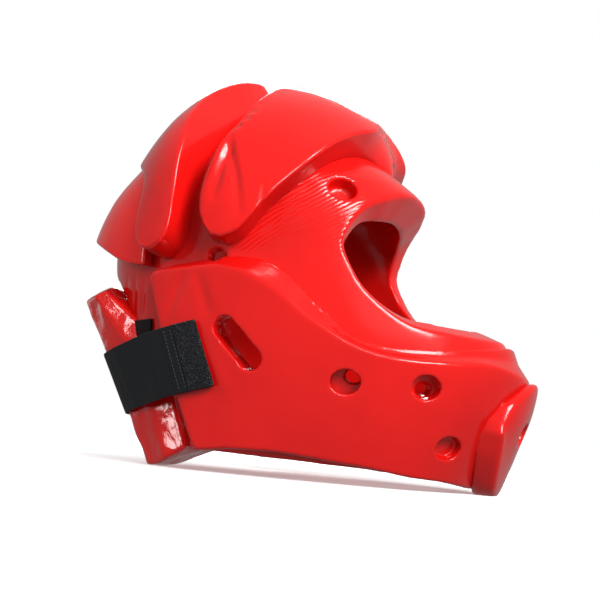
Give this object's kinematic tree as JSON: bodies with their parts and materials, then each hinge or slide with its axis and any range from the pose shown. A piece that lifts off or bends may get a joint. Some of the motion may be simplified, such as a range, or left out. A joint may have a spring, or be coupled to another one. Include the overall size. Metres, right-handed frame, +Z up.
{
  "type": "padded training helmet",
  "caption": "Dipped foam full-face head guard with raised forehead and crown pads, a layered jaw, a neck pad and a black elastic hook strap.",
  "frame": {"origin": "middle of the bounding box, on the floor that the chin pad and the neck pad rest on", "axes": "+Z up, the face opening towards -Y, the wearer's left towards +X"},
  "size_m": [0.2258, 0.3134, 0.2703],
  "materials": {
    "red_vinyl": "glossy dipped vinyl skin on foam",
    "black_elastic": "woven elastic",
    "black_hook": "hook tape",
    "black_loop": "loop pile"
  },
  "bodies": {
    "root": {"shell_cap": "red_vinyl", "shell_crown_right": "red_vinyl", "shell_crown_left": "red_vinyl", "shell_side_right": "red_vinyl", "shell_side_left": "red_vinyl", "jaw_guard": "red_vinyl", "chin_pad": "red_vinyl", "forehead_pad": "red_vinyl", "crown_pad": "red_vinyl", "back_flap": "red_vinyl", "neck_pad": "red_vinyl", "neck_strap": "black_elastic", "hook_tab_right": "black_hook", "hook_tab_left": "black_hook", "loop_patch_right": "black_loop", "loop_patch_left": "black_loop"}
  },
  "joints": []
}
